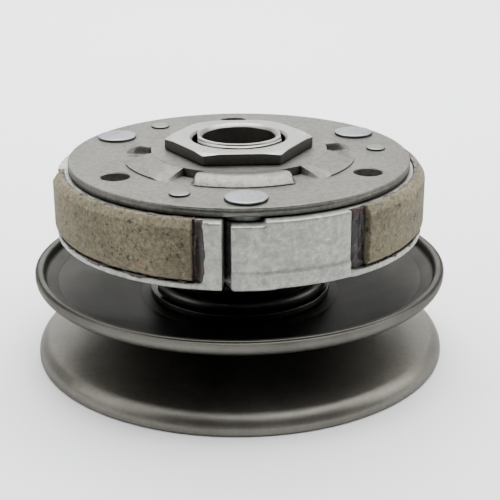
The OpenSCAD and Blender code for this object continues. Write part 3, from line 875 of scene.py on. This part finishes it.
def cast_aluminium():
    """Die-cast shoes: mottled skin, dark pores, smears and scratches that cross."""
    s = Shader("cast_aluminium", Metallic=1.0)
    mid = linear(172, 173, 166)
    cloud = s.noise(95, 6, 0.7, warp=0.8)
    mottle = s.noise(520, 4, 0.75, warp=0.3)
    pores = s.cells(900)
    streaks = s.noise(120, 5, 0.7, stretch=(1.0, 1.0, 0.22), warp=1.2)
    scratch = s.noise(70, 3, 0.5, stretch=(1.0, 14.0, 9.0))
    tone = s.ramp(cloud, [(0.3, shade_of(mid, 0.72)), (0.5, mid), (0.68, shade_of(mid, 1.18))])
    tone = s.mix(s.levels(mottle, 0.38, 0.62, 0.75, 0.0), tone, shade_of(mid, 0.55))
    tone = s.mix(s.levels(mottle, 0.60, 0.72, 0.0, 0.5), tone, shade_of(mid, 1.4))
    tone = s.mix(s.levels(streaks, 0.56, 0.68, 0.0, 0.45), tone, shade_of(mid, 1.35))
    tone = s.mix(s.levels(pores, 0.16, 0.04, 0.0, 0.55), tone, shade_of(mid, 0.3))
    tone = s.mix(s.levels(scratch, 0.62, 0.70, 0.0, 0.5), tone, shade_of(mid, 1.4))
    # Painted shade: creases and the undersides of edges are darkened nearly to black.
    tone = s.mix(s.both(s.crevice(0.0015), 0.75), tone, shade_of(mid, 0.10))
    height = s.maths("ADD", s.both(cloud, 2.0), s.maths("ADD", mottle, s.both(scratch, 0.8)))
    return s.end(tone, s.levels(cloud, 0.3, 0.7, 0.48, 0.62), s.bump(height, CAST_GRAIN, 0.8))


def friction_lining():
    """Moulded friction material: olive-tan matrix, dark pits, pale and brassy specks, a paler bevel."""
    s = Shader("friction_lining")
    mid = linear(112, 105, 83)
    cloud = s.noise(48, 5, 0.6, warp=0.6)
    grain = s.noise(900, 4, 0.8)
    grit = s.cells(750)
    pits = s.noise(430, 5, 0.78)
    warm = s.noise(150, 3, 0.6)
    tone = s.ramp(cloud, [(0.32, shade_of(mid, 0.74)), (0.5, mid), (0.7, shade_of(mid, 1.22))])
    tone = s.mix(s.levels(warm, 0.56, 0.72, 0.0, 0.45), tone, linear(140, 110, 84))
    bevel = s.both(s.facing_up(0.22, 0.5), s.facing_up(0.98, 0.85))
    tone = s.mix(s.both(bevel, 0.3), tone, linear(146, 138, 115))
    tone = s.mix(s.levels(grain, 0.34, 0.56, 0.8, 0.0), tone, shade_of(mid, 0.3))
    tone = s.mix(s.levels(grain, 0.56, 0.70, 0.0, 0.5), tone, linear(160, 152, 126))
    tone = s.mix(s.levels(grit, 0.12, 0.05, 0.0, 0.5), tone, linear(158, 142, 100))
    tone = s.mix(s.levels(pits, 0.57, 0.65, 0.0, 0.85), tone, linear(34, 31, 26))
    # Painted shade: creases and the undersides of edges are darkened nearly to black.
    tone = s.mix(s.both(s.crevice(0.001), 0.7), tone, linear(30, 26, 22))
    height = s.maths("SUBTRACT", grain, s.both(s.levels(pits, 0.58, 0.68), 1.6))
    return s.end(tone, s.levels(grain, 0.3, 0.7, 0.78, 0.95), s.bump(height, LINING_GRAIN, 0.9))


def adhesive():
    """Baked glue: nearly black, with red-brown and dull mauve where it is thin, glossy in places."""
    s = Shader("adhesive")
    patch = s.noise(170, 4, 0.6, warp=1.0)
    run = s.noise(260, 5, 0.7, stretch=(1.0, 1.0, 0.3), warp=1.5)
    fine = s.noise(1100, 4, 0.7)
    tone = s.ramp(patch, [(0.36, linear(24, 22, 22)), (0.5, linear(40, 29, 27)), (0.62, linear(74, 48, 42)),
                          (0.74, linear(104, 94, 90))])
    tone = s.mix(s.levels(run, 0.50, 0.66, 0.0, 0.85), tone, linear(20, 19, 19))
    # Painted highlights: pale grey glints scattered over the glue.
    tone = s.mix(s.levels(fine, 0.62, 0.72, 0.0, 0.6), tone, linear(150, 140, 132))
    height = s.maths("ADD", s.both(run, 2.0), fine)
    return s.end(tone, s.levels(patch, 0.35, 0.65, 0.32, 0.6), s.bump(height, GLUE_GRAIN, 0.8))


def plain(name, colour, rough, metallic=0.0):
    """A fine-grained finish for small or hidden pieces, with cloudy tone and painted shade in its creases."""
    s = Shader(name, Metallic=metallic)
    fine = s.noise(900, 4, 0.6)
    cloud = s.noise(90, 3, 0.5)
    tone = s.mix(s.levels(s.maths("ADD", fine, cloud), 0.7, 1.3), shade_of(colour, 0.75),
                 shade_of(colour, 1.25))
    # Painted shade: creases and the undersides of edges are darkened to a fifth of the colour.
    tone = s.mix(s.both(s.crevice(0.0015), 0.5), tone, shade_of(colour, 0.2))
    return s.end(tone, s.levels(cloud, 0.3, 0.7, rough * 0.85, rough * 1.15), s.bump(fine, 0.00003, 0.5))


# Painted shade: each steel darkens its creases, the plate most.
STEELS = {
    "sheave_steel": ((122, 119, 112), (0.36, 0.48), 2200, dict(turned=1.3, speckle=0.25)),
    # Painted shade: sides below 1 darkens faces that turn sideways, a painted dark reflection of the room in
    # front.
    "hub_steel": ((158, 156, 150), (0.3, 0.42), 2500, dict(sides=0.5)),
    "plate_steel": ((114, 113, 107), (0.40, 0.54), 1500, dict(speckle=0.75, crease_shade=0.8)),
    "nut_steel": ((162, 161, 155), (0.38, 0.48), 2400, dict(speckle=0.25, sides=0.28)),
    "zinc_pins": ((146, 149, 151), (0.36, 0.46), 1400, dict(speckle=0.5, sides=0.7)),
    "bright_pins": ((124, 125, 122), (0.36, 0.46), 1800, dict(speckle=0.4, sides=0.35)),
    "bearing_steel": ((180, 180, 182), (0.15, 0.25), 3000, dict(speckle=0.1)),
}
PLAIN = {
    "cage_brass": ((190, 160, 100), 0.35, 1.0),
    "seal_rubber": ((38, 34, 32), 0.6),
    "clip_steel": ((90, 90, 92), 0.4, 1.0),
    "collar_steel": ((84, 83, 80), 0.4, 1.0),
    "spring_steel": ((84, 84, 82), 0.36, 1.0),
    "seat_nylon": ((40, 40, 40), 0.5),
    "clutch_spring_steel": ((170, 158, 120), 0.35, 1.0),
}
MATERIALS = {name: steel(name, linear(*colour), rough, grain, **more)
             for name, (colour, rough, grain, more) in STEELS.items()}
MATERIALS |= {name: plain(name, linear(*colour), *finish) for name, (colour, *finish) in PLAIN.items()}
MATERIALS |= {"cast_aluminium": cast_aluminium(), "friction_lining": friction_lining()}
MATERIALS["adhesive"] = adhesive()
DISH = pressed_dish()


def paint(obj, slot):
    """Gives a piece the finish of one of the record's slots."""
    obj.data.materials.clear()
    obj.data.materials.append(MATERIALS[slot])


def paint_nodes():
    for entry in frame["record"]["subparts"]:
        node = NODES[entry["node"]]
        paint(node, entry["material_slot"])
        shade(node, 30)


def place(piece, body, slot, *nodes):
    """Finishes a piece: its material, the body it moves with, and the CAD nodes it stands for."""
    paint(piece, slot)
    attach(piece, body)
    if nodes:
        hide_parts(*nodes)


def build_pieces():
    place(fixed_sheave(), "core", "sheave_steel", "fixed_sheave")
    place(fixed_hub(), "core", "hub_steel", "fixed_hub")
    dish = movable_sheave()
    place(dish, "movable_face", "sheave_steel", "movable_sheave")
    dish.data.materials[0] = DISH
    place(movable_hub(), "movable_face", "hub_steel", "movable_hub")
    place(drive_plate(), "core", "plate_steel", "drive_plate")
    place(clutch_nut(), "core", "nut_steel", "clutch_nut")
    place(spring_collar(), "collar_slider", "collar_steel", "spring_collar")
    place(upper_spring_seat(), "core", "seat_nylon", "upper_spring_seat")
    for pin in pivot_pins():
        place(pin, "core", "zinc_pins", "pivot_pins")
    for pin in damper_pins():
        place(pin, "core", "bright_pins", "damper_pins")
    for sleeve in damper_rubbers():
        place(sleeve, "core", "seal_rubber", "damper_rubbers")
    for number in (1, 2, 3):
        arm = f"shoe_arm_{number}"
        place(shoe(number), arm, "cast_aluminium", f"shoe_{number}")
        place(lining(number), arm, "friction_lining", f"lining_{number}")
        place(bond(number), arm, "adhesive", f"bond_{number}")
        for run in edge_glue(number):
            place(run, arm, "adhesive")
        toe_half, heel_half, toe, heel = clutch_spring(number)
        next_arm = f"shoe_arm_{number % 3 + 1}"
        for half, holder, hook in ((toe_half, arm, toe), (heel_half, next_arm, heel)):
            paint(half, "clutch_spring_steel")
            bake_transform(half)
        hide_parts(f"clutch_spring_{number}")
    coil = main_spring()
    place(coil, "core", "spring_steel", "main_spring")
    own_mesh(coil)


paint_nodes()
build_pieces()
add_stage()
add_lights()
add_camera()
